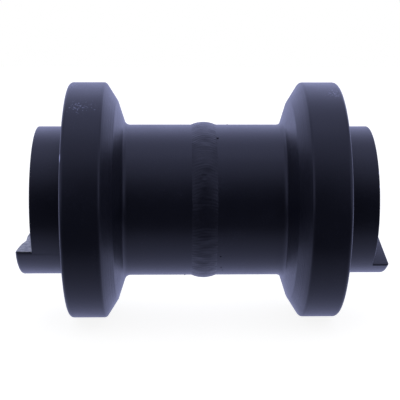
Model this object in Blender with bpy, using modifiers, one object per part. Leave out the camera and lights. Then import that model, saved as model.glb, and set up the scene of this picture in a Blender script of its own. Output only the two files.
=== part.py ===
"""Bottom track roller of a small tracked excavator, for Blender 4.5.

The roller lies along Y, with its origin at the middle of its axle and Z up. A shell of two welded halves
spins on two flanged bushes round a fixed shaft. A collar at each end closes the oil space with a metal-face
seal, and carries the ledge that the track frame's side plate stands on. Each end is modelled in its own
frame, whose Z runs out along the axle from the roller's middle and whose Y points down, so both ends use
the same parts, turned end for end.
"""

import math

import bpy
from mathutils import Matrix, Vector

# Clearances, in metres.
FIT_GAP = 0.0003  # between pieces that touch on the real roller
END_FLOAT = 0.0003  # between a collar's nose and the bush flange that it locates
LABYRINTH_GAP = 0.0010  # between the shell's end recess and the collar that turns in it
RECESS_CLEARANCE = 0.0012  # round the collar, in that recess

# Shell: a spool of two forged halves.
SHELL_HALF_LENGTH = 0.0900
TREAD_RADIUS = 0.0800
TREAD_WIDTH = 0.0245
TREAD_EDGE_ROUND = 0.0026
SHOULDER_STEP = 0.0075  # along the axle, from the tread's inner edge to the flank
SHOULDER_DROP = 0.0120  # and towards it
FLANK_STEP = 0.0054
ROOT_FILLET = 0.0040
BARREL_RADIUS = 0.0514
SHELL_WALL = 0.0155  # of the barrel, round the oil chamber
RECESS_DEPTH = 0.0060

# Weld between the halves.
WELD_DEPTH = 0.0105
WELD_PREP_WIDTH = 0.0150  # across the mouth of the V
WELD_BEAD_WIDTH = 0.0180
WELD_BEAD_HEIGHT = 0.0019
WELD_CROWN_STEPS = 6

# Shaft and bushes.
SHAFT_RADIUS = 0.0210
SHAFT_END_STEP = 0.0010  # the collars sit on ends this much smaller, against the step
SHAFT_PROUD = 0.0005
SHAFT_CHAMFER = 0.0010
BUSH_RUNNING_GAP = 0.0003
BUSH_WALL = 0.0044
BUSH_LENGTH = 0.0300
BUSH_FLANGE_WIDTH = 0.0046
BUSH_FLANGE_THICKNESS = 0.0032
FLANGE_SINK = 0.0025  # the flange's face lies this far below the seal seat's floor

# Metal-face seals: a lapped ring on a rubber toric, in a ramped seat, on each side of the seal plane.
SEAT_DEPTH = 0.0080
SEAT_TAPER = 0.0018  # the seat opens by this much in radius towards its mouth
SEAT_FLOOR_CORNER = 0.0017
SEAL_NOSE_CLEARANCE = 0.0025
SEAL_BACK_CLEARANCE = 0.0010
SEAL_RING_WALL = 0.0038
SEAL_RING_RAMP = 0.0016
SEAL_LIP_RADIUS_STEP = 0.0095
SEAL_LIP_LENGTH = 0.0022
TORIC_SECTION_RADIUS = 0.0026
TORIC_SPACE = 0.0064  # between the ring's ramp and the seat, across the toric

# Collars.
NOSE_WALL = 0.0082
COLLAR_REACH = 0.0220  # how far the collar's face stands out from the shell
COLLAR_RIM_WALL = 0.0072
COLLAR_EDGE_ROUND = 0.0010
COUNTERBORE_DEPTH = 0.0064
LEDGE_LENGTH = 0.0111
SEAT_LAND = 0.0020  # between the counterbore and the ledge's flat
RIGHT_COLLAR_TURN = math.radians(17.3)  # the right collar stands this far round from the left one

# O-rings between the collars and the shaft, and the snap rings that keep the collars on.
O_RING_SECTION_RADIUS = 0.0013
O_RING_SETBACK = 0.0060  # in from the snap ring's face
SNAP_RING_THICKNESS = 0.00175
SNAP_RING_BITE = 0.0015
SNAP_RING_WIDTH = 0.0046
SNAP_LUG_WIDTH = 0.0064
SNAP_LUG_HOLE_RADIUS = 0.00125
SNAP_RING_MOUTH = math.radians(34)  # the free opening between the lugs' outer sides
SNAP_LUG_SPAN = math.radians(15)
SNAP_HOUSING_CLEARANCE = 0.0008

# Tapped bolt holes (M16) and the oil filling plug (M10) at the bottom of the left one.
BOLT_HOLE_RADIUS = 0.0070
BOLT_HOLE_DEPTH = 0.0280
BOLT_HOLE_CHAMFER = 0.0012
DRILL_POINT_DEPTH = 0.0030
PLUG_BORE_RADIUS = 0.0050
PLUG_BORE_DEPTH = 0.0115
PLUG_SHANK_LENGTH = 0.0090
PLUG_HEAD_RADIUS = 0.0064
PLUG_HEAD_THICKNESS = 0.0035
PLUG_SOCKET_WIDTH = 0.0050  # across flats
PLUG_SOCKET_DEPTH = 0.0045
WASHER_THICKNESS = 0.0010
OIL_DRILLING_RADIUS = 0.0030
CROSS_DRILLING_RADIUS = 0.0024

# Facets round a full turn.
SHELL_FACETS = 48
COLLAR_FACETS = 40
INNER_FACETS = 32
SMALL_FACETS = 24

# Radii that follow from the ones above, outward from the shaft.
shaft_end_radius = SHAFT_RADIUS - SHAFT_END_STEP
collar_bore = shaft_end_radius + FIT_GAP
nose_radius = collar_bore + NOSE_WALL
bush_bore = SHAFT_RADIUS + BUSH_RUNNING_GAP
bush_radius = bush_bore + BUSH_WALL
bush_flange_radius = bush_radius + BUSH_FLANGE_WIDTH
shell_bore = bush_radius + FIT_GAP
flange_pocket_radius = bush_flange_radius + FIT_GAP
chamber_radius = BARREL_RADIUS - SHELL_WALL
seal_ring_bore = nose_radius + SEAL_NOSE_CLEARANCE
ramp_radius = seal_ring_bore + SEAL_RING_WALL
toric_radius = ramp_radius + TORIC_SPACE / 2 + SEAL_RING_RAMP / 4
seat_floor_radius = ramp_radius + TORIC_SPACE
seat_mouth_radius = seat_floor_radius + SEAT_TAPER
collar_radius = seat_mouth_radius + COLLAR_RIM_WALL
recess_radius = collar_radius + RECESS_CLEARANCE
snap_groove_radius = shaft_end_radius - SNAP_RING_BITE
snap_ring_bore = snap_groove_radius + FIT_GAP
snap_lug_radius = snap_ring_bore + SNAP_LUG_WIDTH
counterbore_radius = snap_lug_radius + SNAP_HOUSING_CLEARANCE
ledge_drop = counterbore_radius + SEAT_LAND
o_ring_groove_radius = shaft_end_radius - 2 * (O_RING_SECTION_RADIUS + FIT_GAP)

# Stations along the axle, measured out from the middle.
recess_floor = SHELL_HALF_LENGTH - RECESS_DEPTH
collar_inner_face = recess_floor + LABYRINTH_GAP
seal_plane = (recess_floor + collar_inner_face) / 2
shell_seat_floor = recess_floor - SEAT_DEPTH
collar_seat_floor = collar_inner_face + SEAT_DEPTH
thrust_face = shell_seat_floor - FLANGE_SINK
flange_pocket_floor = thrust_face - BUSH_FLANGE_THICKNESS - FIT_GAP
bush_inner_end = thrust_face - BUSH_LENGTH
chamber_end = bush_inner_end - FIT_GAP
nose_end = thrust_face + END_FLOAT
shaft_step = nose_end - FIT_GAP
collar_face = SHELL_HALF_LENGTH + COLLAR_REACH
ledge_face = collar_face + LEDGE_LENGTH
counterbore_floor = collar_face - COUNTERBORE_DEPTH
snap_groove_end = counterbore_floor + SNAP_RING_THICKNESS + 2 * FIT_GAP
o_ring_station = counterbore_floor - O_RING_SETBACK
shaft_end = collar_face + SHAFT_PROUD
bolt_hole_floor = shaft_end - BOLT_HOLE_DEPTH
tread_inner_edge = SHELL_HALF_LENGTH - TREAD_WIDTH
shoulder_station = tread_inner_edge - SHOULDER_STEP
shoulder_radius = TREAD_RADIUS - SHOULDER_DROP
flank_root = shoulder_station - FLANK_STEP

# Finishes: base colour, roughness and metallic value.
BLACK_PAINT = ((0.012, 0.013, 0.020), 0.42, 0.0)
GROUND_STEEL = ((0.42, 0.42, 0.43), 0.28, 1.0)
BRONZE_LINING = ((0.46, 0.29, 0.13), 0.35, 1.0)
SEAL_IRON = ((0.30, 0.30, 0.31), 0.22, 1.0)
BLACK_RUBBER = ((0.018, 0.018, 0.018), 0.70, 0.0)
SPRING_STEEL = ((0.10, 0.10, 0.11), 0.40, 1.0)
PLATED_STEEL = ((0.55, 0.52, 0.42), 0.32, 1.0)
COPPER = ((0.62, 0.30, 0.18), 0.35, 1.0)


def clear_scene():
    for old in list(bpy.data.objects):
        bpy.data.objects.remove(old)


def collection(name):
    made = bpy.data.collections.new(name)
    bpy.context.scene.collection.children.link(made)
    return made


def material(name, finish):
    colour, roughness, metallic = finish
    made = bpy.data.materials.new(name)
    made.use_nodes = True
    made.diffuse_color = (*colour, 1.0)
    shader = made.node_tree.nodes["Principled BSDF"]
    shader.inputs["Base Color"].default_value = (*colour, 1.0)
    shader.inputs["Roughness"].default_value = roughness
    shader.inputs["Metallic"].default_value = metallic
    return made


def frame(name, parent=None, station=0.0, rotation=(0.0, 0.0, 0.0)):
    """An empty that carries the pieces of one end or one body."""
    made = bpy.data.objects.new(name, None)
    assembly.objects.link(made)
    made.parent = parent
    made.location = (0.0, 0.0, station)
    made.rotation_euler = rotation
    return made


def add(name, data, parent, finish):
    piece = bpy.data.objects.new(name, data)
    assembly.objects.link(piece)
    piece.parent = parent
    data.materials.append(material(name, finish))
    return piece


def take_new_shape(name, holder, parent):
    """Moves the primitive just added into a collection, under the empty that carries it."""
    piece = bpy.context.object
    for old_holder in list(piece.users_collection):
        old_holder.objects.unlink(piece)
    holder.objects.link(piece)
    piece.name = name
    piece.parent = parent
    return piece


def cutter(name, parent):
    made = take_new_shape(name, cutters, parent)
    made.hide_render = True
    made.display_type = "WIRE"
    return made


def cut(piece, tool):
    boolean = piece.modifiers.new("cut", "BOOLEAN")
    boolean.operation = "DIFFERENCE"
    boolean.object = tool


def rubber_ring(name, ring_radius, section_radius, facets, section_facets, parent, station):
    bpy.ops.mesh.primitive_torus_add(
        major_radius=ring_radius,
        minor_radius=section_radius,
        major_segments=facets,
        minor_segments=section_facets,
        location=(0.0, 0.0, station),
    )
    piece = take_new_shape(name, assembly, parent)
    piece.data.materials.append(material(name, BLACK_RUBBER))
    piece.data.shade_smooth()


def rounded(corners, steps=3):
    """The outline through these (radius, station) corners. A third number rounds that corner by so much."""
    points = []
    for index, corner in enumerate(corners):
        here = Vector(corner[:2])
        if len(corner) == 2:
            points.append(here)
            continue
        back = (Vector(corners[index - 1][:2]) - here).normalized()
        ahead = (Vector(corners[(index + 1) % len(corners)][:2]) - here).normalized()
        half_angle = back.angle(ahead) / 2
        reach = corner[2] / math.tan(half_angle)
        centre = here + (back + ahead).normalized() * corner[2] / math.sin(half_angle)
        start, end = here + back * reach - centre, here + ahead * reach - centre
        sweep = start.angle_signed(end)
        for step in range(steps + 1):
            spoke = start.copy()
            spoke.rotate(Matrix.Rotation(-sweep * step / steps, 2))
            points.append(centre + spoke)
    return points


def turned(name, corners, facets, parent, finish, closed=True):
    """A solid of revolution round its parent's Z: a profile with a Screw modifier."""
    points = rounded(corners)
    edges = [(i, i + 1) for i in range(len(points) - 1)]
    if closed:
        edges.append((len(points) - 1, 0))
    profile = bpy.data.meshes.new(name)
    profile.from_pydata([(p.x, 0.0, p.y) for p in points], edges, [])
    piece = add(name, profile, parent, finish)
    screw = piece.modifiers.new("turned", "SCREW")
    screw.axis = "Z"
    screw.steps = screw.render_steps = facets
    screw.use_merge_vertices = True
    screw.merge_threshold = 0.00001
    return piece


def shell_half(side, end):
    joint_gap = FIT_GAP / 2
    turned(
        f"{side}_shell_half",
        [
            (chamber_radius, joint_gap),
            (chamber_radius, chamber_end),
            (shell_bore, chamber_end),
            (shell_bore, flange_pocket_floor),
            (flange_pocket_radius, flange_pocket_floor),
            (flange_pocket_radius, shell_seat_floor),
            (seat_floor_radius - SEAT_FLOOR_CORNER, shell_seat_floor),
            (seat_floor_radius, shell_seat_floor + SEAT_FLOOR_CORNER),
            (seat_mouth_radius, recess_floor),
            (recess_radius, recess_floor),
            (recess_radius, SHELL_HALF_LENGTH),
            (TREAD_RADIUS, SHELL_HALF_LENGTH, TREAD_EDGE_ROUND),
            (TREAD_RADIUS, tread_inner_edge),
            (shoulder_radius, shoulder_station),
            (BARREL_RADIUS, flank_root, ROOT_FILLET),
            (BARREL_RADIUS, WELD_PREP_WIDTH / 2),
            (BARREL_RADIUS - WELD_DEPTH, joint_gap),
        ],
        SHELL_FACETS,
        end,
        BLACK_PAINT,
    )


def weld_bead(axle):
    """The V between the halves filled, with a low crown that laps onto the barrel."""
    lap = BARREL_RADIUS + FIT_GAP
    half_prep = WELD_PREP_WIDTH / 2
    flank_shift = FIT_GAP * math.hypot(WELD_DEPTH, half_prep) / WELD_DEPTH
    half_bead = WELD_BEAD_WIDTH / 2
    crown = [
        (lap + WELD_BEAD_HEIGHT * math.sin(angle), half_bead * math.cos(angle))
        for angle in (math.pi * step / WELD_CROWN_STEPS for step in range(WELD_CROWN_STEPS + 1))
    ]
    root = (BARREL_RADIUS - WELD_DEPTH + flank_shift * WELD_DEPTH / half_prep, 0.0)
    mouth = half_prep - flank_shift
    corners = [root, (lap, mouth), *crown, (lap, -mouth)]
    turned("weld_bead", corners, SHELL_FACETS, axle, BLACK_PAINT)


def bush(side, end):
    turned(
        f"{side}_bush",
        [
            (bush_bore, bush_inner_end),
            (bush_bore, thrust_face),
            (bush_flange_radius, thrust_face),
            (bush_flange_radius, flange_pocket_floor + FIT_GAP),
            (bush_radius, flange_pocket_floor + FIT_GAP),
            (bush_radius, bush_inner_end),
        ],
        INNER_FACETS,
        end,
        BRONZE_LINING,
    )


def seal(name, mount):
    """One side of a metal-face seal, from the seal plane out along Z into its seat."""
    lapped_face = FIT_GAP / 2
    seat_floor = SEAT_DEPTH + LABYRINTH_GAP / 2
    ring_back = seat_floor - SEAL_BACK_CLEARANCE
    turned(
        f"{name}_seal_ring",
        [
            (seal_ring_bore, lapped_face),
            (seal_ring_bore, ring_back),
            (ramp_radius, ring_back),
            (ramp_radius + SEAL_RING_RAMP, lapped_face + SEAL_LIP_LENGTH),
            (seal_ring_bore + SEAL_LIP_RADIUS_STEP, lapped_face + SEAL_LIP_LENGTH),
            (seal_ring_bore + SEAL_LIP_RADIUS_STEP, lapped_face),
        ],
        INNER_FACETS,
        mount,
        SEAL_IRON,
    )
    rubber_ring(
        f"{name}_toric",
        toric_radius,
        TORIC_SECTION_RADIUS,
        INNER_FACETS,
        8,
        mount,
        seat_floor - FIT_GAP - TORIC_SECTION_RADIUS,
    )


def collar(side, mount):
    piece = turned(
        f"{side}_collar",
        [
            (collar_bore, nose_end),
            (collar_bore, counterbore_floor),
            (counterbore_radius, counterbore_floor),
            (counterbore_radius, ledge_face),
            (collar_radius, ledge_face, COLLAR_EDGE_ROUND),
            (collar_radius, collar_inner_face),
            (seat_mouth_radius, collar_inner_face),
            (seat_floor_radius, collar_seat_floor - SEAT_FLOOR_CORNER),
            (seat_floor_radius - SEAT_FLOOR_CORNER, collar_seat_floor),
            (nose_radius, collar_seat_floor),
            (nose_radius, nose_end),
        ],
        COLLAR_FACETS,
        mount,
        BLACK_PAINT,
    )
    # Past the collar's face, only the part below the flat is left, as the ledge.
    reach = 2 * collar_radius
    bpy.ops.mesh.primitive_cube_add(
        size=1.0,
        location=(0.0, (ledge_drop - reach) / 2, collar_face + LEDGE_LENGTH),
        scale=(2 * reach, reach + ledge_drop, 2 * LEDGE_LENGTH),
    )
    cut(piece, cutter(f"{side}_ledge_cut", mount))


def o_ring(side, mount):
    rubber_ring(
        f"{side}_collar_o_ring",
        shaft_end_radius - O_RING_SECTION_RADIUS - FIT_GAP,
        O_RING_SECTION_RADIUS,
        SMALL_FACETS,
        6,
        mount,
        o_ring_station,
    )


def shaft(axle):
    def end_features(sign):
        """The turned steps of one end, from its bolt hole's mouth in to the journal."""
        groove = O_RING_SECTION_RADIUS + FIT_GAP
        return [
            (r, sign * z)
            for r, z in (
                (BOLT_HOLE_RADIUS, shaft_end - BOLT_HOLE_CHAMFER),
                (BOLT_HOLE_RADIUS + BOLT_HOLE_CHAMFER, shaft_end),
                (shaft_end_radius - SHAFT_CHAMFER, shaft_end),
                (shaft_end_radius, shaft_end - SHAFT_CHAMFER),
                (shaft_end_radius, snap_groove_end),
                (snap_groove_radius, snap_groove_end),
                (snap_groove_radius, counterbore_floor),
                (shaft_end_radius, counterbore_floor),
                (shaft_end_radius, o_ring_station + groove),
                (o_ring_groove_radius, o_ring_station + groove),
                (o_ring_groove_radius, o_ring_station - groove),
                (shaft_end_radius, o_ring_station - groove),
                (shaft_end_radius, shaft_step),
                (SHAFT_RADIUS, shaft_step),
            )
        ]

    outline = [
        (0.0, bolt_hole_floor - DRILL_POINT_DEPTH),
        (BOLT_HOLE_RADIUS, bolt_hole_floor),
        *end_features(1),
        *reversed(end_features(-1)),
        (BOLT_HOLE_RADIUS, -bolt_hole_floor),
        (PLUG_BORE_RADIUS, -bolt_hole_floor),
        (PLUG_BORE_RADIUS, PLUG_BORE_DEPTH - bolt_hole_floor),
        (OIL_DRILLING_RADIUS, PLUG_BORE_DEPTH - bolt_hole_floor),
        (OIL_DRILLING_RADIUS, OIL_DRILLING_RADIUS),
        (0.0, OIL_DRILLING_RADIUS),
    ]
    piece = turned("shaft", outline, INNER_FACETS, axle, GROUND_STEEL, closed=False)
    bpy.ops.mesh.primitive_cylinder_add(
        vertices=SMALL_FACETS // 2,
        radius=CROSS_DRILLING_RADIUS,
        depth=3 * SHAFT_RADIUS,
        rotation=(0.0, math.radians(90), 0.0),
    )
    cut(piece, cutter("oil_cross_drilling", axle))


def snap_ring(side, end):
    """An external circlip, its mouth pointing up: a flat outline with two drilled lugs."""
    half_mouth = SNAP_RING_MOUTH / 2
    lug_end = half_mouth + SNAP_LUG_SPAN
    mid_up = -math.pi / 2
    curve = bpy.data.curves.new(f"{side}_snap_ring", "CURVE")
    curve.dimensions = "2D"
    curve.fill_mode = "BOTH"
    curve.extrude = SNAP_RING_THICKNESS / 2

    def polar(radius, angle):
        return (radius * math.cos(mid_up + angle), radius * math.sin(mid_up + angle))

    def spline(points):
        line = curve.splines.new("POLY")
        line.points.add(len(points) - 1)
        for point, (x, y) in zip(line.points, points):
            point.co = (x, y, 0.0, 1.0)
        line.use_cyclic_u = True

    def sweep(radius, first, last, steps):
        return [
            polar(radius, first + (last - first) * step / steps)
            for step in range(steps + 1)
        ]

    full = 2 * math.pi
    outline = sweep(snap_lug_radius, half_mouth, lug_end, 3)
    outline += sweep(snap_ring_bore + SNAP_RING_WIDTH, lug_end, full - lug_end, 28)
    outline += sweep(snap_lug_radius, full - lug_end, full - half_mouth, 3)
    outline += sweep(snap_ring_bore, full - half_mouth, half_mouth, 30)
    spline(outline)
    hole_circle = (snap_ring_bore + snap_lug_radius) / 2
    for lug in (half_mouth + SNAP_LUG_SPAN / 2, full - half_mouth - SNAP_LUG_SPAN / 2):
        x, y = polar(hole_circle, lug)
        spline(
            [
                (
                    x + SNAP_LUG_HOLE_RADIUS * math.cos(full * step / 8),
                    y + SNAP_LUG_HOLE_RADIUS * math.sin(full * step / 8),
                )
                for step in range(8)
            ]
        )
    piece = add(f"{side}_snap_ring", curve, end, SPRING_STEEL)
    piece.location.z = counterbore_floor + FIT_GAP + SNAP_RING_THICKNESS / 2


def oil_plug(end):
    """A socket-headed plug on a copper washer, at the bottom of the left bolt hole."""
    washer_seat = bolt_hole_floor + FIT_GAP
    head_seat = washer_seat + WASHER_THICKNESS + FIT_GAP
    shank_radius = PLUG_BORE_RADIUS - FIT_GAP
    turned(
        "oil_plug_washer",
        [
            (shank_radius + FIT_GAP, washer_seat),
            (shank_radius + FIT_GAP, washer_seat + WASHER_THICKNESS),
            (PLUG_HEAD_RADIUS, washer_seat + WASHER_THICKNESS),
            (PLUG_HEAD_RADIUS, washer_seat),
        ],
        SMALL_FACETS,
        end,
        COPPER,
    )
    plug = turned(
        "oil_plug",
        [
            (0.0, head_seat + PLUG_HEAD_THICKNESS),
            (PLUG_HEAD_RADIUS, head_seat + PLUG_HEAD_THICKNESS),
            (PLUG_HEAD_RADIUS, head_seat),
            (shank_radius, head_seat),
            (shank_radius, head_seat - PLUG_SHANK_LENGTH),
            (0.0, head_seat - PLUG_SHANK_LENGTH),
        ],
        SMALL_FACETS,
        end,
        PLATED_STEEL,
        closed=False,
    )
    bpy.ops.mesh.primitive_cylinder_add(
        vertices=6,
        radius=PLUG_SOCKET_WIDTH / math.sqrt(3),
        depth=2 * PLUG_SOCKET_DEPTH,
        location=(0.0, 0.0, head_seat + PLUG_HEAD_THICKNESS),
    )
    cut(plug, cutter("oil_plug_socket", end))


clear_scene()
assembly = collection("track_roller")
cutters = collection("track_roller_cutters")

lay_along_y = math.radians(-90)
axle = frame("axle_line", rotation=(lay_along_y, 0.0, 0.0))
ends = {
    "left": frame("left_end", rotation=(lay_along_y, 0.0, math.pi)),
    "right": frame("right_end", rotation=(lay_along_y, 0.0, 0.0)),
}
collar_turns = {"left": 0.0, "right": RIGHT_COLLAR_TURN}

shaft(axle)
weld_bead(axle)
for side, end in ends.items():
    shell_half(side, end)
    bush(side, end)
    seal(f"{side}_shell", frame(f"{side}_shell_seal", end, seal_plane, (math.pi, 0.0, 0.0)))
    collar_axis = frame(f"{side}_collar_axis", end, 0.0, (0.0, 0.0, collar_turns[side]))
    collar(side, collar_axis)
    seal(f"{side}_collar", frame(f"{side}_collar_seal", collar_axis, seal_plane))
    o_ring(side, collar_axis)
    snap_ring(side, end)
oil_plug(ends["left"])
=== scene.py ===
import math

import bmesh
import bpy
from mathutils import Matrix, Vector, noise


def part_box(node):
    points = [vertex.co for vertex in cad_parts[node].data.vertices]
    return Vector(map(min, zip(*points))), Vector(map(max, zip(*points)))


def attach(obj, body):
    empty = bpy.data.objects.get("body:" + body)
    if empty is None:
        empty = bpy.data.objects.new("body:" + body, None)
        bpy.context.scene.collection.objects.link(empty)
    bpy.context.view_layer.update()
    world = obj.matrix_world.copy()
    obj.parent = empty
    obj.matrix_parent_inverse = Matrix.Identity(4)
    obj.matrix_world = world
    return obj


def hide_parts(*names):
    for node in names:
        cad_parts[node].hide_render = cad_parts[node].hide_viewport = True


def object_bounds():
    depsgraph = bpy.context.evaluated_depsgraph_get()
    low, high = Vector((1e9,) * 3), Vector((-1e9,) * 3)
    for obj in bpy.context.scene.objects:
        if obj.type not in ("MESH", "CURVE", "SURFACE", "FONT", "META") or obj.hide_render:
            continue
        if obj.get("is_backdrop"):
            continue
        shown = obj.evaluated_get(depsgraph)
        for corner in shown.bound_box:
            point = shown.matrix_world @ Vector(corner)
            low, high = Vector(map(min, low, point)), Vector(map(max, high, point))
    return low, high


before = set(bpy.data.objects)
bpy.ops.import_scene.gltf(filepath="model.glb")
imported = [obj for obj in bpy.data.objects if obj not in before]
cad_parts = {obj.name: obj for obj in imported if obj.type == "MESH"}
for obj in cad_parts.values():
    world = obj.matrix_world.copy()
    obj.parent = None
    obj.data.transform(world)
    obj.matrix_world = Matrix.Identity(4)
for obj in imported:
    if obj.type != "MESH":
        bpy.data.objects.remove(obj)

cad_low, cad_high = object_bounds()

# ---------------------------------------------------------------------------------------------------------
# Shaft. One bar of induction-hardened steel, ground where the bushes run and where the collars sit. Each end
# has a groove for a snap ring, one for an O-ring and a tapped M16 hole. The left hole leads on to the oil
# drilling, and is closed there by a plug.
# ---------------------------------------------------------------------------------------------------------
JOURNAL = 0.0210
SHAFT_SEAT = 0.0200
SHAFT_STEP = 0.0735
SNAP_GROOVE = (0.0185, 0.1056, 0.10795)
O_RING_GROOVE = (0.0168, 0.0980, 0.1012)
TAPPING_RADIUS = 0.0070
TAPPING_FLOOR = 0.0845
THREAD_DEPTH = 0.0010
THREAD_PITCH = 0.0020
PLUG_BORE = 0.0050
PLUG_BORE_FLOOR = 0.0730
OIL_DRILLING = 0.0030
CROSS_DRILLING = 0.0024


def rounded(corners, steps=6):
    """The outline through these (radius, y) corners. A third number rounds that corner by so much."""
    points = []
    for index, corner in enumerate(corners):
        here = Vector(corner[:2])
        if len(corner) == 2:
            points.append(here)
            continue
        back = (Vector(corners[index - 1][:2]) - here).normalized()
        ahead = (Vector(corners[(index + 1) % len(corners)][:2]) - here).normalized()
        half_angle = back.angle(ahead) / 2
        reach = corner[2] / math.tan(half_angle)
        centre = here + (back + ahead).normalized() * corner[2] / math.sin(half_angle)
        start, end = here + back * reach - centre, here + ahead * reach - centre
        sweep = start.angle_signed(end)
        for step in range(steps + 1):
            spoke = start.copy()
            spoke.rotate(Matrix.Rotation(-sweep * step / steps, 2))
            points.append(centre + spoke)
    return points


def turn_on_lathe(outline, steps, closed=True):
    """A blank turned round the Y axis from its (radius, y) outline."""
    blank = bmesh.new()
    verts = [blank.verts.new((radius, y, 0.0)) for radius, y in outline]
    edges = [blank.edges.new(pair) for pair in zip(verts, verts[1:])]
    if closed:
        edges.append(blank.edges.new((verts[-1], verts[0])))
    bmesh.ops.spin(
        blank, geom=verts + edges, cent=(0, 0, 0), axis=(0, 1, 0), angle=math.tau, steps=steps,
        use_merge=True, use_duplicate=False,
    )
    bmesh.ops.remove_doubles(blank, verts=blank.verts, dist=0.000005)
    bmesh.ops.recalc_face_normals(blank, faces=blank.faces)
    return blank


def part_from(blank, name, finishes, sharp_angle=32):
    """Makes the object from a blank, smooth except where it turns a corner."""
    mesh = bpy.data.meshes.new(name)
    blank.to_mesh(mesh)
    blank.free()
    for finish in finishes:
        mesh.materials.append(finish)
    mesh.shade_smooth()
    mesh.set_sharp_from_angle(angle=math.radians(sharp_angle))
    part = bpy.data.objects.new(name, mesh)
    bpy.context.scene.collection.objects.link(part)
    return part


def fit(part, body, node):
    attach(part, body)
    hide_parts(node)


def drill(part, tool):
    """Cuts a tool's shape out of a part, and throws the tool away."""
    cut = part.modifiers.new("cut", "BOOLEAN")
    cut.operation = "DIFFERENCE"
    cut.solver = "EXACT"
    cut.object = tool
    sliced = bpy.data.meshes.new_from_object(part.evaluated_get(bpy.context.evaluated_depsgraph_get()))
    part.modifiers.clear()
    part.data = sliced
    bpy.data.objects.remove(tool)
    return part


def rod(radius, length, sides, place):
    """A plain round or hexagonal tool, made along Z and then put in its place."""
    blank = bmesh.new()
    bmesh.ops.create_cone(
        blank, cap_ends=True, segments=sides, radius1=radius, radius2=radius, depth=length, matrix=place
    )
    return part_from(blank, "tool", [])


class Finish:
    """A node-based material under construction: every number it needs stays on its own node or socket."""

    def __init__(self, name, roughness, metallic=0.0, **sockets):
        self.material = bpy.data.materials.new(name)
        self.material.use_nodes = True
        self.tree = self.material.node_tree
        self.shader = self.tree.nodes["Principled BSDF"]
        self.shader.inputs["Roughness"].default_value = roughness
        self.shader.inputs["Metallic"].default_value = metallic
        for socket, value in sockets.items():
            self.shader.inputs[socket.replace("_", " ")].default_value = value
        self.place = self.add("ShaderNodeTexCoord").outputs["Object"]

    def add(self, kind, inputs=(), **settings):
        made = self.tree.nodes.new(kind)
        for key, value in settings.items():
            setattr(made, key, value)
        for key, value in dict(inputs).items():
            if isinstance(value, bpy.types.NodeSocket):
                self.tree.links.new(value, made.inputs[key])
            else:
                made.inputs[key].default_value = value
        return made

    def maths(self, operation, *values, clamp=False):
        inputs = dict(enumerate(values))
        return self.add("ShaderNodeMath", inputs, operation=operation, use_clamp=clamp).outputs[0]

    def along_and_around(self):
        """Distance from the axle, and the place along it, as separate values."""
        parts = self.add("ShaderNodeSeparateXYZ", {0: self.place})
        flat = self.add("ShaderNodeCombineXYZ", {0: parts.outputs[0], 1: parts.outputs[2]})
        length = self.add("ShaderNodeVectorMath", {0: flat.outputs[0]}, operation="LENGTH")
        return length.outputs["Value"], parts.outputs[1]

    def grain(self, scale, detail=2.0, roughness=0.5, place=None, distortion=0.0):
        where = place or self.place
        inputs = {"Vector": where, "Scale": scale, "Detail": detail, "Roughness": roughness}
        made = self.add("ShaderNodeTexNoise", {**inputs, "Distortion": distortion})
        return made.outputs["Fac"]

    def lathe_marks(self, scale):
        """Grain drawn out round the axle, as a tool's point leaves it."""
        radius, along = self.along_and_around()
        ring = self.add("ShaderNodeCombineXYZ", {0: radius, 1: along})
        return self.grain(scale, 3.0, 0.6, ring.outputs[0])

    def spread(self, value, low, high, to_low=0.0, to_high=1.0):
        made = self.add(
            "ShaderNodeMapRange",
            {"Value": value, "From Min": low, "From Max": high, "To Min": to_low, "To Max": to_high},
        )
        return made.outputs[0]

    def blend(self, amount, first, second):
        made = self.add("ShaderNodeMix", data_type="RGBA")
        for index, value in ((0, amount), (6, first), (7, second)):
            if isinstance(value, bpy.types.NodeSocket):
                self.tree.links.new(value, made.inputs[index])
            else:
                made.inputs[index].default_value = (*value, 1.0) if index else value
        return made.outputs[2]

    def colour(self, value):
        self.tree.links.new(value, self.shader.inputs["Base Color"])

    def rough(self, value):
        self.tree.links.new(value, self.shader.inputs["Roughness"])

    def relief(self, *layers):
        """Each layer is a height from 0 to 1 and how deep it is, in metres."""
        normal = None
        for height, depth in layers:
            inputs = {"Height": height, "Distance": depth, "Strength": 1.0}
            if normal:
                inputs["Normal"] = normal
            normal = self.add("ShaderNodeBump", inputs).outputs[0]
        self.tree.links.new(normal, self.shader.inputs["Normal"])
        return self.material


def ground_steel():
    finish = Finish("ground_steel", 0.3, 1.0)
    marks = finish.lathe_marks(5200.0)
    cloud = finish.grain(60.0, 4.0)
    finish.colour(finish.blend(cloud, (0.40, 0.40, 0.41), (0.52, 0.52, 0.53)))
    finish.rough(finish.spread(finish.maths("ADD", marks, cloud), 0.6, 1.4, 0.24, 0.40))
    return finish.relief((marks, 0.000012))


steel = ground_steel()


def bolt_end(side):
    """One end of the shaft's outline, from its bolt hole's mouth to the journal."""
    end = cad_shaft_end
    return [
        (radius, side * y)
        for radius, y in (
            (TAPPING_RADIUS, end - 0.0012),
            (TAPPING_RADIUS + 0.0012, end),
            (SHAFT_SEAT - 0.0010, end),
            (SHAFT_SEAT, end - 0.0010),
            (SHAFT_SEAT, SNAP_GROOVE[2]),
            (SNAP_GROOVE[0], SNAP_GROOVE[2]),
            (SNAP_GROOVE[0], SNAP_GROOVE[1]),
            (SHAFT_SEAT, SNAP_GROOVE[1]),
            (SHAFT_SEAT, O_RING_GROOVE[2]),
            (O_RING_GROOVE[0], O_RING_GROOVE[2]),
            (O_RING_GROOVE[0], O_RING_GROOVE[1]),
            (SHAFT_SEAT, O_RING_GROOVE[1]),
            (SHAFT_SEAT, SHAFT_STEP),
            (JOURNAL - 0.0005, SHAFT_STEP),
            (JOURNAL, SHAFT_STEP - 0.0005),
        )
    ]


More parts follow.
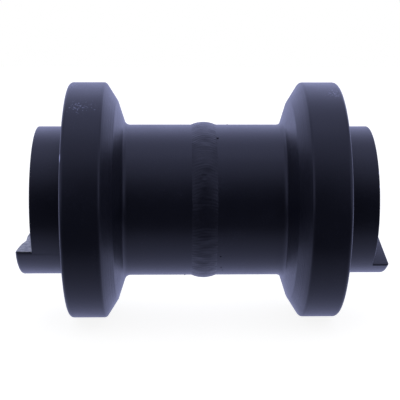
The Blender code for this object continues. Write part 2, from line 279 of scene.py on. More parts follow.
def tapped_wall(side, first, last):
    """The rows of a bolt hole's wall, eight to each turn of the thread."""
    rows = round((last - first) / THREAD_PITCH * 8)
    return [(TAPPING_RADIUS, side * (first + (last - first) * row / rows)) for row in range(1, rows)]


def cut_thread(blank, side, first, last):
    """Sinks an M16 thread into the wall between two distances from the roller's middle."""
    for vert in blank.verts:
        depth_in = side * vert.co.y
        radius = math.hypot(vert.co.x, vert.co.z)
        if first < depth_in < last and abs(radius - TAPPING_RADIUS) < 0.0001:
            turn = vert.co.y / THREAD_PITCH - math.atan2(vert.co.z, vert.co.x) / math.tau
            flank = min(1.0, max(0.0, 2.3 * abs(2 * (turn % 1.0) - 1.0) - 0.5))
            run_out = min(1.0, (depth_in - first) / THREAD_PITCH, (last - depth_in) / THREAD_PITCH)
            grown = 1 + THREAD_DEPTH * flank * run_out / radius
            vert.co.x *= grown
            vert.co.z *= grown


cad_shaft_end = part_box("shaft")[1].y
mouth = cad_shaft_end - 0.0012
left_thread_floor = 0.0895
shaft_outline = [
    (0.0, TAPPING_FLOOR - 0.0030),
    (TAPPING_RADIUS, TAPPING_FLOOR),
    *tapped_wall(1, TAPPING_FLOOR, mouth),
    *bolt_end(1),
    *reversed(bolt_end(-1)),
    *reversed(tapped_wall(-1, left_thread_floor, mouth)),
    (TAPPING_RADIUS, -TAPPING_FLOOR),
    (PLUG_BORE, -TAPPING_FLOOR),
    (PLUG_BORE, -PLUG_BORE_FLOOR),
    (OIL_DRILLING, -PLUG_BORE_FLOOR),
    (OIL_DRILLING, OIL_DRILLING),
    (0.0, OIL_DRILLING),
]
shaft_blank = turn_on_lathe(shaft_outline, 96, closed=False)
cut_thread(shaft_blank, 1, TAPPING_FLOOR + 0.002, mouth)
cut_thread(shaft_blank, -1, left_thread_floor, mouth)
shaft = part_from(shaft_blank, "shaft_fine", [steel])
drill(shaft, rod(CROSS_DRILLING, 0.07, 32, Matrix.Rotation(math.radians(90), 4, "Y")))
shaft.data.set_sharp_from_angle(angle=math.radians(32))
fit(shaft, "shaft_assembly", "shaft")

# ---------------------------------------------------------------------------------------------------------
# Shell halves. Each is a steel forging, turned all over: a disc that runs on the track, a steep two-step
# flank and half of the barrel. The oil chamber, the bush's seat and the seal's seat are bored inside it. The
# outside is sprayed satin black after the halves are welded together.
# ---------------------------------------------------------------------------------------------------------
HALF_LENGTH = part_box("right_shell_half")[1].y
TREAD_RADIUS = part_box("right_shell_half")[1].z
TREAD_INNER_EDGE = 0.0655
SHOULDER = (0.0680, 0.0580)
FLANK_ROOT = 0.0526
BARREL_RADIUS = 0.0514
CHAMBER_RADIUS = 0.0360
CHAMBER_END = 0.0432
BUSH_SEAT = 0.0260
FLANGE_POCKET = (0.0306, 0.0700)
SEAL_SEAT = (0.0412, 0.0430, 0.0760, 0.0840)
END_RECESS = 0.0514
WELD_PREP = (0.0409, 0.0075)
SPRAY_DEPTH = 0.0450  # the spray reached no nearer to the axle than this
TURNED_STEPS = 288
CHIP = (1500.0, 0.5, 0.55)


def black_paint(name, lathe_depth, marks_from, marks_to, *wear_marks_and_painted_reflections):
    """Satin black, sprayed over turned steel, whose tool marks show most between two distances from the axle.
    A blemish, worn paint or a painted reflection, is its place, its reach along each axis, a kind and a
    colour. The kind says how fine and how ragged its flecks are, and how much of it they cover. CHIP is one
    solid patch."""
    finish = Finish(name, 0.4, 0.0, IOR=1.5)
    radius, along = finish.along_and_around()
    cloud = finish.grain(38.0, 5.0, 0.6)
    mist = finish.grain(900.0, 3.0, 0.6)
    peel = finish.grain(620.0, 2.0, 0.5)
    nibs = finish.spread(finish.grain(1900.0, 1.0), 0.70, 0.78)
    marks = finish.lathe_marks(1100.0)
    showing = finish.maths(
        "MULTIPLY",
        finish.spread(radius, marks_from, marks_from + 0.001),
        finish.spread(radius, marks_to, marks_to - 0.001),
    )
    grooves = finish.maths("MULTIPLY", marks, finish.spread(showing, 0.0, 1.0, 0.22, 1.0))
    colour = finish.blend(cloud, (0.0042, 0.0044, 0.0068), (0.0068, 0.0072, 0.0110))
    handled = finish.spread(finish.maths("MULTIPLY", cloud, mist), 0.30, 0.46)
    colour = finish.blend(handled, colour, (0.0150, 0.0155, 0.0200))
    for place, reach, (fine, ragged, cover), shade in wear_marks_and_painted_reflections:
        nearer = finish.add(
            "ShaderNodeMapping",
            {"Vector": finish.place, "Location": place, "Scale": reach},
            vector_type="TEXTURE",
        )
        away = finish.add("ShaderNodeVectorMath", {0: nearer.outputs[0]}, operation="LENGTH").outputs["Value"]
        broken = finish.maths("MULTIPLY_ADD", finish.grain(fine, 3.0, 0.7), ragged, away)
        edge = 0.5 * ragged + cover
        shown = finish.spread(broken, edge + 0.2, edge - 0.2)
        colour = finish.blend(shown, colour, shade)
    finish.colour(colour)
    finish.rough(finish.spread(finish.maths("ADD", cloud, mist), 0.7, 1.3, 0.31, 0.40))
    return finish.relief((peel, 0.00003), (grooves, lathe_depth), (nibs, 0.00002))


def machined_steel():
    finish = Finish("machined_steel", 0.4, 1.0)
    marks = finish.lathe_marks(2600.0)
    finish.colour(finish.blend(marks, (0.26, 0.26, 0.27), (0.40, 0.40, 0.41)))
    return finish.relief((marks, 0.00003))


def bare_inside(part, painted):
    """Gives the bored surfaces their own finish: painted says which places the spray reached."""
    for face in part.data.polygons:
        centre = face.center
        face.material_index = 0 if painted(math.hypot(centre.x, centre.z), abs(centre.y)) else 1


shell_paint = black_paint(
    "shell_paint", 0.00016, BARREL_RADIUS + 0.002, TREAD_RADIUS - 0.0015,
    ((0.0705, -0.0896, 0.0380), (0.0040, 0.0007, 0.0056), CHIP, (0.62, 0.64, 0.72)),
    ((0.0443, -0.0800, 0.0666), (0.0100, 0.0120, 0.0050), (640.0, 6.0, -0.05), (0.150, 0.155, 0.180)),
    ((0.0154, -0.0860, 0.0780), (0.0120, 0.0060, 0.0060), (700.0, 4.0, 0.05), (0.140, 0.145, 0.170)),
    ((0.0300, 0.0840, 0.0742), (0.0120, 0.0080, 0.0060), (640.0, 5.0, -0.15), (0.140, 0.145, 0.170)),
    ((-0.0520, 0.0780, 0.0610), (0.0100, 0.0120, 0.0080), (700.0, 5.0, -0.10), (0.120, 0.125, 0.150)),
    ((-0.0660, -0.0890, -0.0440), (0.0040, 0.0008, 0.0050), (1500.0, 0.6, 0.55), (0.50, 0.52, 0.58)),
)
bored_steel = machined_steel()
for side, sign in (("left", -1), ("right", 1)):
    half_outline = rounded(
        [
            (CHAMBER_RADIUS, 0.00015),
            (CHAMBER_RADIUS, CHAMBER_END, 0.0015),
            (BUSH_SEAT, CHAMBER_END),
            (BUSH_SEAT, FLANGE_POCKET[1]),
            (FLANGE_POCKET[0], FLANGE_POCKET[1]),
            (FLANGE_POCKET[0], SEAL_SEAT[2]),
            (SEAL_SEAT[0], SEAL_SEAT[2], 0.0016),
            (SEAL_SEAT[1], SEAL_SEAT[3], 0.0004),
            (END_RECESS, SEAL_SEAT[3], 0.0006),
            (END_RECESS, HALF_LENGTH, 0.0005),
            (TREAD_RADIUS, HALF_LENGTH, 0.0028),
            (TREAD_RADIUS, TREAD_INNER_EDGE, 0.0026),
            (*SHOULDER, 0.0020),
            (BARREL_RADIUS, FLANK_ROOT, 0.0040),
            (BARREL_RADIUS, WELD_PREP[1]),
            (WELD_PREP[0], 0.00015),
        ]
    )
    half_blank = turn_on_lathe([(radius, sign * y) for radius, y in half_outline], TURNED_STEPS)
    half = part_from(half_blank, f"{side}_shell_half_fine", [shell_paint, bored_steel])
    skin = BARREL_RADIUS - 0.0001
    bare_inside(half, lambda radius, y: radius > SPRAY_DEPTH and (y > 0.0082 or radius > skin))
    fit(half, "shell", f"{side}_shell_half")

# ---------------------------------------------------------------------------------------------------------
# Weld bead. Wire-fed arc weld in one pass round the barrel while it turns, which fills the V between the
# halves. The pool froze in overlapping crescents, and threw a few drops of spatter. It is painted over.
# ---------------------------------------------------------------------------------------------------------
BEAD_HALF_WIDTH = 0.0091
BEAD_HEIGHT = 0.0018
BEAD_SINK = 0.0004
RIPPLE_PITCH = 0.0021
RIPPLE_HEIGHT = 0.00006
RIPPLE_BOW = 0.0026
RIPPLE_WANDER = 0.0016
SWELL = 0.00022
LUMP = 0.00026
PIMPLE = 0.00005
DENT_PLACE = Vector((0.0489, -0.0004, 0.0227))
DENT_REACH = 0.0024
DENT_DEPTH = 0.0004

crown_points = 32
bead_outline = []
for step in range(crown_points + 1):
    across = 1 - 2 * step / crown_points
    crown = (BEAD_HEIGHT + BEAD_SINK) * (1 - across * across)
    bead_outline.append((BARREL_RADIUS - BEAD_SINK + crown, BEAD_HALF_WIDTH * across))
bead_outline += [(BARREL_RADIUS - 0.0010, -0.0066), (0.0416, 0.0), (BARREL_RADIUS - 0.0010, 0.0066)]
bead_blank = turn_on_lathe(bead_outline, 1200)
for vert in bead_blank.verts:
    radius = math.hypot(vert.co.x, vert.co.z)
    if radius < BARREL_RADIUS - 0.0007:
        continue
    around = math.atan2(vert.co.z, vert.co.x)
    across = vert.co.y / BEAD_HALF_WIDTH
    ring = Vector((math.cos(around), math.sin(around), 0.0))
    slow = noise.noise(6 * ring + Vector((0.0, 0.0, across)))
    quick = noise.noise(34 * ring + Vector((0.0, 0.0, 2.4 * across)))
    lumps = noise.noise(11 * ring + Vector((3.0, 0.0, 1.3 * across)))
    travel = around * BARREL_RADIUS + RIPPLE_BOW * across * across + RIPPLE_WANDER * slow
    scale = 1.0 - (2 * (travel / RIPPLE_PITCH % 1.0) - 1.0) ** 2
    middle = max(0.0, 1.0 - across * across)
    strength = (0.65 + 0.9 * slow) * min(1.0, 2.5 * middle)
    rise = RIPPLE_HEIGHT * (scale - 0.6) * strength
    rise += (SWELL * slow + LUMP * lumps + PIMPLE * quick) * middle
    rise -= DENT_DEPTH * max(0.0, 1 - (vert.co - DENT_PLACE).length / DENT_REACH)
    ragged = 0.030 if vert.co.y > 0 else 0.012
    vert.co.x *= 1 + rise / radius
    vert.co.z *= 1 + rise / radius
    vert.co.y *= 1 + ragged * (scale - 0.5 + 1.5 * quick) * across * across + 0.02 * slow * abs(across)


def painted_weld():
    finish = Finish("painted_weld", 0.36, 0.0, IOR=1.5)
    cloud = finish.grain(160.0, 4.0)
    scale = finish.grain(1500.0, 4.0, 0.6)
    finish.colour(finish.blend(cloud, (0.0040, 0.0042, 0.0064), (0.0080, 0.0083, 0.0120)))
    finish.rough(finish.spread(scale, 0.3, 0.7, 0.30, 0.46))
    return finish.relief((scale, 0.00004))


bead = part_from(bead_blank, "weld_bead_fine", [painted_weld()], sharp_angle=60)
fit(bead, "shell", "weld_bead")

# Spatter: drops of weld metal frozen on the barrel beside the bead, and painted with it. Each is where it
# lies round the axle in degrees, where along it, and its radius.
SPATTER = (
    (60.9, 0.0087, 0.00095), (-37.5, 0.0104, 0.00075), (-52.0, 0.0112, 0.00050), (-57.0, 0.0121, 0.00040),
    (118.0, -0.0122, 0.00060), (171.0, 0.0131, 0.00070), (204.0, -0.0140, 0.00045), (236.0, 0.0119, 0.00055),
    (283.0, -0.0127, 0.00060), (150.0, -0.0180, 0.00040), (12.0, -0.0155, 0.00035), (95.0, 0.0164, 0.00040),
)
spatter_blank = bmesh.new()
for degrees, along, size in SPATTER:
    turn = Matrix.Rotation(math.radians(-degrees), 4, "Y")
    seat = Matrix.Translation((BARREL_RADIUS - 0.35 * size, along, 0.0))
    bmesh.ops.create_uvsphere(spatter_blank, u_segments=20, v_segments=12, radius=size, matrix=turn @ seat)
spatter = part_from(spatter_blank, "weld_spatter", [bead.data.materials[0]])
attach(spatter, "shell")

# ---------------------------------------------------------------------------------------------------------
# Bushes. Steel-backed bronze, pressed into the shell halves, with a flange that takes the side thrust from
# the collar's nose.
# ---------------------------------------------------------------------------------------------------------


def bush_bronze():
    finish = Finish("bush_bronze", 0.36, 1.0)
    pores = finish.grain(2400.0, 3.0, 0.7)
    finish.colour(finish.blend(pores, (0.30, 0.17, 0.07), (0.56, 0.36, 0.16)))
    finish.rough(finish.spread(pores, 0.3, 0.7, 0.50, 0.28))
    return finish.relief((pores, 0.00002))


bronze = bush_bronze()
for side, sign in (("left", -1), ("right", 1)):
    bush_outline = rounded(
        [
            (0.0213, 0.0435, 0.0006),
            (0.0213, 0.0735, 0.0006),
            (0.0303, 0.0735, 0.0004),
            (0.0303, 0.0703, 0.0004),
            (0.0257, 0.0703),
            (0.0257, 0.0435, 0.0008),
        ]
    )
    bush_blank = turn_on_lathe([(radius, sign * y) for radius, y in bush_outline], 144)
    bush = part_from(bush_blank, f"{side}_bush_fine", [bronze])
    fit(bush, "shell", f"{side}_bush")

# ---------------------------------------------------------------------------------------------------------
# Seals. Two lapped iron rings run face to face at each end, one in the shell and one in the collar. Each is
# held and pressed outward by a nitrile toric, squeezed between the ring's ramp and its seat.
# ---------------------------------------------------------------------------------------------------------
SEAL_PLANE = 0.0845
TORIC_RADIUS = 0.0384
TORIC_SECTION = 0.0026
TORIC_SETBACK = 0.0056
O_RING_RADIUS = 0.0184
O_RING_SECTION = 0.0013


def lapped_iron():
    finish = Finish("lapped_iron", 0.25, 1.0)
    marks = finish.lathe_marks(3800.0)
    cloud = finish.grain(240.0, 3.0)
    finish.colour(finish.blend(cloud, (0.24, 0.24, 0.25), (0.38, 0.38, 0.39)))
    finish.rough(finish.spread(marks, 0.3, 0.7, 0.16, 0.30))
    return finish.relief((marks, 0.00001))


def nitrile_rubber():
    finish = Finish("nitrile_rubber", 0.6)
    bloom = finish.grain(500.0, 4.0)
    finish.colour(finish.blend(bloom, (0.010, 0.010, 0.010), (0.026, 0.026, 0.027)))
    finish.rough(finish.spread(bloom, 0.3, 0.7, 0.5, 0.75))
    return finish.relief((finish.grain(2600.0, 2.0), 0.00002))


def rubber_ring(name, ring_radius, section, station, steps):
    turns = [math.tau * step / 24 for step in range(24)]
    outline = [(ring_radius + section * math.cos(turn), station + section * math.sin(turn)) for turn in turns]
    return part_from(turn_on_lathe(outline, steps), name, [rubber])


iron = lapped_iron()
rubber = nitrile_rubber()
for side, end in (("left", -1), ("right", 1)):
    for holder, body, outward in (("shell", "shell", -1), ("collar", f"{side}_collar_assembly", 1)):
        name = f"{side}_{holder}"
        ring_outline = rounded(
            [
                (0.0310, 0.00015, 0.0003),
                (0.0310, 0.0075, 0.0004),
                (0.0348, 0.0075, 0.0008),
                (0.0364, 0.00235, 0.0006),
                (0.0405, 0.00235, 0.0003),
                (0.0405, 0.00015, 0.0003),
            ],
            4,
        )
        ring_places = [(radius, end * (SEAL_PLANE + outward * y)) for radius, y in ring_outline]
        ring = part_from(turn_on_lathe(ring_places, 144), f"{name}_seal_ring_fine", [iron])
        fit(ring, body, f"{name}_seal_ring")
        toric_station = end * (SEAL_PLANE + outward * TORIC_SETBACK)
        toric = rubber_ring(f"{name}_toric_fine", TORIC_RADIUS, TORIC_SECTION, toric_station, 144)
        fit(toric, body, f"{name}_toric")
    groove_middle = end * (O_RING_GROOVE[1] + O_RING_GROOVE[2]) / 2
    o_ring = rubber_ring(f"{side}_collar_o_ring_fine", O_RING_RADIUS, O_RING_SECTION, groove_middle, 96)
    fit(o_ring, f"{side}_collar_assembly", f"{side}_collar_o_ring")

# ---------------------------------------------------------------------------------------------------------
# Collars. Turned and milled from steel, sprayed black. Past its face each has a half-moon ledge, and the
# track frame's side plate stands on the ledge's flat. The left flat is as it was sawn, the right one milled.
# ---------------------------------------------------------------------------------------------------------
COLLAR_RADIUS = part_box("left_collar")[1].z
COLLAR_FACE = 0.1120
LEDGE_FACE = -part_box("left_collar")[0].y
LEDGE_DROP = 0.0280
RIM_ROUND = 0.0008
CHORD_ROUND = 0.0008
END_ROUND = 0.0007
SAW_GRID = 0.0008
TORN_DEPTH = 0.00016
NOTCH_DEPTH = 0.0016
CORNER_SET_BACK = 0.0006
NEAR_RISE = 0.0008
COLLAR_OUTLINE = [
    (0.0203, 0.0738, 0.0004),
    (0.0203, 0.1056),
    (0.0260, 0.1056, 0.0008),
    (0.0260, LEDGE_FACE),
    (COLLAR_RADIUS, LEDGE_FACE, 0.0020),
    (COLLAR_RADIUS, 0.0850, 0.0008),
    (0.0430, 0.0850, 0.0004),
    (0.0412, 0.0930, 0.0016),
    (0.0285, 0.0930),
    (0.0285, 0.0738, 0.0006),
]


def box_tool(low, high):
    blank = bmesh.new()
    bmesh.ops.create_cube(blank, size=1.0)
    bmesh.ops.scale(blank, vec=high - low, verts=blank.verts)
    bmesh.ops.translate(blank, vec=(high + low) / 2, verts=blank.verts)
    return part_from(blank, "tool", [])


def round_edge(part, corner, first, second, radius, reach):
    """Rounds a straight edge in three facets, from a point on it and the outward directions of its faces."""
    along = first.cross(second).normalized()
    middle = corner - radius * (first + second) / (1 + first.dot(second))
    for quarter in (1, 2, 3):
        out = Matrix.Rotation(first.angle(second) * quarter / 4, 3, along) @ first
        blank = bmesh.new()
        bmesh.ops.create_cube(blank, size=1.0)
        bmesh.ops.scale(blank, vec=(3.4 * radius, 2 * reach, 0.003), verts=blank.verts)
        turn = Matrix((along.cross(out), along, out)).transposed().to_4x4()
        where = Matrix.Translation(middle + (radius + 0.0015) * out)
        bmesh.ops.transform(blank, matrix=where @ turn, verts=blank.verts)
        drill(part, part_from(blank, "tool", []))


def rim_tool(radius, sign, size):
    """Takes the edge off the collar's face, all round except where the ledge stands out of it."""
    outline = [(radius + 0.001, sign * (COLLAR_FACE + 0.001)), (radius + 0.001, sign * (COLLAR_FACE - size))]
    for quarter in (0.5, 1.5, 2.5, 3.5):
        turn = math.radians(22.5 * quarter)
        across, out = size * 1.01 * math.cos(turn), size * 1.01 * math.sin(turn)
        outline.append((radius - size + across, sign * (COLLAR_FACE - size + out)))
    outline.append((radius - size, sign * (COLLAR_FACE + 0.001)))
    tool = part_from(turn_on_lathe(outline if sign > 0 else outline[::-1], TURNED_STEPS), "tool", [])
    drill(tool, box_tool(Vector((-0.08, -0.2, -0.08)), Vector((0.08, 0.2, 0.0011 - LEDGE_DROP))))
    return tool


def roughen_flat(collar):
    """Leaves the left ledge as it was sawn: a torn flat that rises to one end, and an end face with a notch
    where the two cuts met."""
    blank = bmesh.new()
    blank.from_mesh(collar.data)
    ledge_middle = Vector((0.0, -(COLLAR_FACE + LEDGE_FACE) / 2, 0.0))
    for across, cuts in ((Vector((1.0, 0.0, 0.0)), 110), (Vector((0.0, 1.0, 0.0)), 13)):
        for cut in range(cuts):
            faces = [
                face
                for face in blank.faces
                if face.calc_center_median().y < -COLLAR_FACE - 0.0003 and face.normal.z > -0.1
            ]
            edges = {edge for face in faces for edge in face.edges}
            verts = {vert for face in faces for vert in face.verts}
            place = ledge_middle + across * SAW_GRID * (cut - cuts / 2)
            bmesh.ops.bisect_plane(
                blank, geom=[*faces, *edges, *verts], dist=0.000001, plane_co=place, plane_no=across
            )
    for vert in blank.verts:
        if vert.co.y > -COLLAR_FACE - 0.0003:
            continue
        if all(face.normal.z > 0.9 for face in vert.link_faces):
            vert.co.z += TORN_DEPTH * (noise.noise(vert.co * 620.0) + 0.7 * noise.noise(vert.co * 1500.0))
        along = min(1.0, max(0.0, 0.5 - vert.co.x / 0.098))
        near_top = max(0.0, 1 + (vert.co.z + LEDGE_DROP) / 0.009)
        near_end = min(1.0, max(0.0, 1 - (LEDGE_FACE + vert.co.y) / 0.004))
        notch = max(0.0, 1 - abs(along - 0.50) / 0.17)
        corner = max(0.0, 1 - along / 0.30)
        vert.co.y += (NOTCH_DEPTH * notch**1.3 + CORNER_SET_BACK * corner**2) * near_top * near_end
        if vert.co.z > -LEDGE_DROP - 0.0015:
            vert.co.z += NEAR_RISE * max(0.0, 1 - along / 0.45)
            if along < 0.06:
                vert.co.z += 0.0003 * noise.noise(vert.co * 900.0)
    blank.to_mesh(collar.data)
    blank.free()


def sawn_ledge_painted_reflection():
    """The same paint on the torn flat, dull. Its pale colour is a painted reflection of the bright
    surroundings at a grazing angle, speckled by the torn grain.
    """
    finish = Finish("sawn_ledge_painted_reflection", 0.5, 0.0, IOR=1.5)
    pits = finish.grain(820.0, 4.0, 0.7)
    streaks = finish.grain(260.0, 2.0, 0.5)
    # Painted reflection: pale colours where the dark paint would only catch the bright surroundings.
    speckled_reflection = finish.spread(finish.maths("ADD", pits, streaks), 0.80, 1.18)
    finish.colour(finish.blend(speckled_reflection, (0.190, 0.190, 0.140), (0.520, 0.515, 0.380)))
    return finish.relief((pits, 0.0003))


collar_paint = black_paint(
    "collar_paint", 0.00010, 0.026, COLLAR_RADIUS - 0.0012,
    ((0.0439, 0.1119, 0.0244), (0.0014, 0.0007, 0.0026), CHIP, (0.55, 0.57, 0.64)),
    ((0.0477, 0.1119, 0.0158), (0.0012, 0.0007, 0.0020), CHIP, (0.55, 0.57, 0.64)),
    # Lighter flecks below the left ledge's near edge are a painted reflection, standing in for the broken
    # light off an uneven bevel.
    ((0.0470, -0.1170, -0.0262), (0.0060, 0.0070, 0.0030), (900.0, 4.0, 0.10), (0.060, 0.062, 0.070)),
    ((-0.0300, -0.1118, 0.0400), (0.0030, 0.0007, 0.0022), (1500.0, 0.6, 0.55), (0.40, 0.42, 0.48)),
)
ledge_painted_reflection = sawn_ledge_painted_reflection()
collar_turn = {"left": 0.0, "right": math.radians(17.3)}
for side, sign in (("left", -1), ("right", 1)):
    outline = [(radius, sign * y) for radius, y in rounded(COLLAR_OUTLINE)]
    finishes = [collar_paint, bored_steel, ledge_painted_reflection] if side == "left" else [collar_paint, bored_steel]
    collar = part_from(turn_on_lathe(outline, TURNED_STEPS), f"{side}_collar_fine", finishes)
    over = 0.08
    low = Vector((-over, COLLAR_FACE if sign > 0 else -COLLAR_FACE - over, -LEDGE_DROP))
    high = Vector((over, COLLAR_FACE + over if sign > 0 else -COLLAR_FACE, over))
    drill(collar, box_tool(low, high))
    drill(collar, rim_tool(COLLAR_RADIUS, sign, RIM_ROUND))
    up, end = Vector((0.0, 0.0, 1.0)), Vector((0.0, float(sign), 0.0))
    half_chord = math.sqrt(COLLAR_RADIUS**2 - LEDGE_DROP**2)
    middle = (COLLAR_FACE + LEDGE_FACE + 0.003) / 2
    for hand in (-1, 1):
        corner = Vector((hand * half_chord, sign * middle, -LEDGE_DROP))
        out = Vector((corner.x, 0.0, corner.z)).normalized()
        round_edge(collar, corner, up, out, CHORD_ROUND, middle - COLLAR_FACE)
    round_edge(collar, Vector((0.0, sign * LEDGE_FACE, -LEDGE_DROP)), up, end, END_ROUND, 0.06)
    if side == "left":
        roughen_flat(collar)
    collar.data.shade_smooth()
    collar.data.set_sharp_from_angle(angle=math.radians(32))
    collar.data.transform(Matrix.Rotation(collar_turn[side], 4, "Y"))
    bare_inside(collar, lambda radius, y: radius > SPRAY_DEPTH or y > 0.1050)
    # The upturned faces of the left ledge take the painted reflection.
    if side == "left":
        for face in collar.data.polygons:
            on_ledge = face.center.y < -COLLAR_FACE - 0.0002 and face.center.z > -LEDGE_DROP - 0.001
            if on_ledge and face.normal.z > 0.7:
                face.material_index = 2
    fit(collar, f"{side}_collar_assembly", f"{side}_collar")

# ---------------------------------------------------------------------------------------------------------
# Snap rings. Stamped spring steel, blackened. Each sits in its groove in the shaft and keeps a collar on.
# ---------------------------------------------------------------------------------------------------------
SNAP_RING_THICKNESS = 0.00175


def blackened_spring_steel():
    finish = Finish("blackened_spring_steel", 0.4, 1.0)
    cloud = finish.grain(300.0, 4.0)
    finish.colour(finish.blend(cloud, (0.050, 0.050, 0.056), (0.11, 0.11, 0.12)))
    finish.rough(finish.spread(cloud, 0.3, 0.7, 0.32, 0.5))
    return finish.relief((finish.grain(1800.0, 3.0), 0.00002))


def ring_point(radius, angle):
    """Angles are measured from the top, where the ring's mouth is."""
    return (radius * math.sin(angle), radius * math.cos(angle))


def ring_arc(radius, first, last, steps):
    return [ring_point(radius, first + (last - first) * step / steps) for step in range(steps + 1)]


def snap_ring(name, station):
    bore, body_radius, lug_radius, hole = 0.0188, 0.0234, 0.0252, 0.00125
    half_mouth, lug_span = math.radians(17), math.radians(15)
    lug_end = half_mouth + lug_span
    stamping = bpy.data.curves.new(name, "CURVE")
    stamping.dimensions = "2D"
    stamping.fill_mode = "BOTH"
    stamping.bevel_depth = 0.00015
    stamping.bevel_resolution = 1
    stamping.extrude = SNAP_RING_THICKNESS / 2 - stamping.bevel_depth
    stamping.offset = -stamping.bevel_depth
    outer = ring_arc(lug_radius, half_mouth, lug_end - 0.05, 8)
    outer += ring_arc(body_radius, lug_end + 0.05, math.tau - lug_end - 0.05, 120)
    outer += ring_arc(lug_radius, math.tau - lug_end + 0.05, math.tau - half_mouth, 8)
    outer += ring_arc(bore, math.tau - half_mouth, half_mouth, 140)
    outlines = [outer]
    for angle in (half_mouth + lug_span / 2, math.tau - half_mouth - lug_span / 2):
        x, z = ring_point((bore + lug_radius) / 2, angle)
        turns = [math.tau * step / 24 for step in range(24)]
        outlines.append([(x + hole * math.cos(turn), z + hole * math.sin(turn)) for turn in turns])
    for points in outlines:
        line = stamping.splines.new("POLY")
        line.points.add(len(points) - 1)
        for point, (x, z) in zip(line.points, points):
            point.co = (x, z, 0.0, 1.0)
        line.use_cyclic_u = True
    pattern = bpy.data.objects.new("pattern", stamping)
    bpy.context.scene.collection.objects.link(pattern)
    depsgraph = bpy.context.evaluated_depsgraph_get()
    sheet_metal = bpy.data.meshes.new_from_object(pattern.evaluated_get(depsgraph))
    bpy.data.objects.remove(pattern)
    blank = bmesh.new()
    blank.from_mesh(sheet_metal)
    bmesh.ops.remove_doubles(blank, verts=blank.verts, dist=0.000005)
    bmesh.ops.recalc_face_normals(blank, faces=blank.faces)
    bmesh.ops.transform(blank, matrix=Matrix.Rotation(math.radians(90), 4, "X"), verts=blank.verts)
    bmesh.ops.translate(blank, vec=(0.0, station, 0.0), verts=blank.verts)
    return part_from(blank, name, [spring_steel])


spring_steel = blackened_spring_steel()
for side, sign in (("left", -1), ("right", 1)):
    low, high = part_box(f"{side}_snap_ring")
    ring = snap_ring(f"{side}_snap_ring_fine", (low.y + high.y) / 2)
    fit(ring, "shaft_assembly", f"{side}_snap_ring")

# ---------------------------------------------------------------------------------------------------------
# Oil plug. A zinc-plated socket screw on a copper washer, at the bottom of the left bolt hole. The roller is
# filled through here, and then the plug is never touched again.
# ---------------------------------------------------------------------------------------------------------
plug_low, plug_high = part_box("oil_plug")
washer_low, washer_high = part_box("oil_plug_washer")


def yellow_zinc():
    finish = Finish("yellow_zinc", 0.3, 1.0)
    cloud = finish.grain(260.0, 3.0, 0.6, distortion=0.6)
    finish.colour(finish.blend(cloud, (0.58, 0.50, 0.30), (0.46, 0.44, 0.42)))
    finish.rough(finish.spread(cloud, 0.3, 0.7, 0.22, 0.38))
    return finish.relief((finish.grain(2000.0, 3.0), 0.00001))


def soft_copper():
    finish = Finish("soft_copper", 0.35, 1.0)
    cloud = finish.grain(400.0, 3.0)
    finish.colour(finish.blend(cloud, (0.62, 0.27, 0.15), (0.42, 0.18, 0.11)))
    return finish.relief((finish.grain(1800.0, 3.0), 0.00001))


plug_outline = rounded(
    [
        (0.0, plug_low.y),
        (plug_high.x, plug_low.y, 0.0004),
        (plug_high.x, plug_low.y + 0.0035, 0.0002),
        (0.0047, plug_low.y + 0.0035),
        (0.0047, plug_high.y - 0.0006),
        (0.0041, plug_high.y),
        (0.0, plug_high.y),
    ]
)
plug = part_from(turn_on_lathe(plug_outline, 64, closed=False), "oil_plug_fine", [yellow_zinc()])
socket_place = Matrix.Translation((0.0, plug_low.y, 0.0)) @ Matrix.Rotation(math.radians(90), 4, "X")
drill(plug, rod(0.005 / math.sqrt(3), 0.009, 6, socket_place))
plug.data.set_sharp_from_angle(angle=math.radians(32))
fit(plug, "shaft_assembly", "oil_plug")

washer_outline = rounded(
    [
        (0.0050, washer_low.y, 0.0002),
        (washer_high.x, washer_low.y, 0.0002),
        (washer_high.x, washer_high.y, 0.0002),
        (0.0050, washer_high.y, 0.0002),
    ],
    3,
)
washer = part_from(turn_on_lathe(washer_outline, 64), "oil_plug_washer_fine", [soft_copper()])
fit(washer, "shaft_assembly", "oil_plug_washer")

# ---------------------------------------------------------------------------------------------------------
# Studio. A plain white floor, soft white surroundings that are darker on the camera's side, and the camera.
# ---------------------------------------------------------------------------------------------------------
ELEVATION = math.radians(9.2)
YAW = math.radians(1.45)
CAMERA_DISTANCE = 0.6812
AIM = Vector((0.0, -0.0021, -0.0003))
CAMERA_TILT = math.radians(0.12)
LENS = 89.28  # millimetres, before a 36 mm sensor
SOFTBOX_PLACE = Vector((-0.3, 0.0, 1.2))
SKY_TINT = (0.56, 0.60, 1.0)
# How bright the surroundings are, from straight behind the roller, at -1, to behind the camera, at 1.
SKY = (
    (-1.0, 1.40), (-0.87, 1.85), (-0.5, 1.02), (-0.157, 0.72), (0.1, 0.86), (0.21, 0.93), (0.5, 0.88),
    (0.62, 0.80), (0.72, 0.56), (0.8, 0.36), (0.9, 0.18), (0.97, 0.08), (1.0, 0.05),
)

scene = bpy.context.scene
scene.view_settings.view_transform = "Standard"

floor_sheet = bmesh.new()
bmesh.ops.create_grid(floor_sheet, x_segments=1, y_segments=1, size=6.0)
bmesh.ops.translate(floor_sheet, vec=(0.0, 0.0, cad_low.z), verts=floor_sheet.verts)


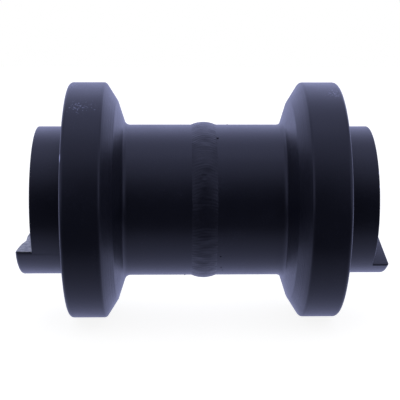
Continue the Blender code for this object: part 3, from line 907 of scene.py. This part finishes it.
def pale_floor():
    """White to the camera. What the roller sees in it is a glow from under and behind, and dark in front."""
    finish = Finish("pale_floor", 0.9)
    finish.shader.inputs["Base Color"].default_value = (0.40, 0.375, 0.225, 1.0)
    finish.shader.inputs["Emission Color"].default_value = (1.0, 1.0, 1.0, 1.0)
    finish.shader.inputs["Emission Strength"].default_value = 0.88
    away = finish.add("ShaderNodeSeparateXYZ", {0: finish.place}).outputs[0]
    level = finish.spread(away, -0.01, 0.15, 1.28, 0.10)
    glow = finish.add("ShaderNodeEmission", {"Color": (*SKY_TINT, 1.0), "Strength": level})
    seen = finish.add("ShaderNodeLightPath").outputs["Is Camera Ray"]
    mix = finish.add("ShaderNodeMixShader", {0: seen, 1: glow.outputs[0], 2: finish.shader.outputs[0]})
    finish.tree.links.new(mix.outputs[0], finish.tree.nodes["Material Output"].inputs["Surface"])
    return finish.material


floor = part_from(floor_sheet, "floor", [pale_floor()])
floor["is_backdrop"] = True

sky = bpy.data.worlds.new("studio")
scene.world = sky
sky.use_nodes = True
links, nodes = sky.node_tree.links, sky.node_tree.nodes
ray = nodes.new("ShaderNodeLightPath")
direction = nodes.new("ShaderNodeTexCoord")
split = nodes.new("ShaderNodeSeparateXYZ")
links.new(direction.outputs["Generated"], split.inputs[0])
ramp = nodes.new("ShaderNodeValToRGB")
remap = nodes.new("ShaderNodeMapRange")
remap.inputs["From Min"].default_value = -1.0
links.new(split.outputs[0], remap.inputs["Value"])
links.new(remap.outputs[0], ramp.inputs[0])
stops = ramp.color_ramp.elements
stops[0].position, stops[1].position = 0.0, 1.0
for position, level in SKY:
    at = (position + 1) / 2
    stop = stops[0] if at == 0 else stops[len(stops) - 1] if at == 1 else stops.new(at)
    stop.color = (level, level, level, 1.0)
tint = nodes.new("ShaderNodeMix")
tint.data_type = "RGBA"
tint.blend_type = "MULTIPLY"
tint.inputs[0].default_value = 1.0
links.new(ramp.outputs[0], tint.inputs[6])
tint.inputs[7].default_value = (*SKY_TINT, 1.0)
choose = nodes.new("ShaderNodeMix")
choose.data_type = "RGBA"
links.new(ray.outputs["Is Camera Ray"], choose.inputs[0])
links.new(tint.outputs[2], choose.inputs[6])
choose.inputs[7].default_value = (1.0, 1.0, 1.0, 1.0)
links.new(choose.outputs[2], nodes["Background"].inputs["Color"])

softbox = bpy.data.lights.new("softbox", "AREA")
softbox.shape = "RECTANGLE"
softbox.size, softbox.size_y = 1.2, 1.6
softbox.energy = 3.0
softbox.color = SKY_TINT
overhead = bpy.data.objects.new("softbox", softbox)
overhead.location = SOFTBOX_PLACE
overhead.rotation_euler = SOFTBOX_PLACE.to_track_quat("Z", "Y").to_euler()
scene.collection.objects.link(overhead)

lens = bpy.data.cameras.new("camera")
lens.sensor_width = 36.0
lens.lens = LENS
lens.clip_start = 0.01
camera = bpy.data.objects.new("camera", lens)
backward = Vector(
    (math.cos(ELEVATION) * math.cos(YAW), -math.cos(ELEVATION) * math.sin(YAW), math.sin(ELEVATION))
)
camera.location = AIM + backward * CAMERA_DISTANCE
tilt = Matrix.Rotation(CAMERA_TILT, 3, "Z")
camera.rotation_euler = (backward.to_track_quat("Z", "Y").to_matrix() @ tilt).to_euler()
scene.collection.objects.link(camera)
scene.camera = camera

low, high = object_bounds()
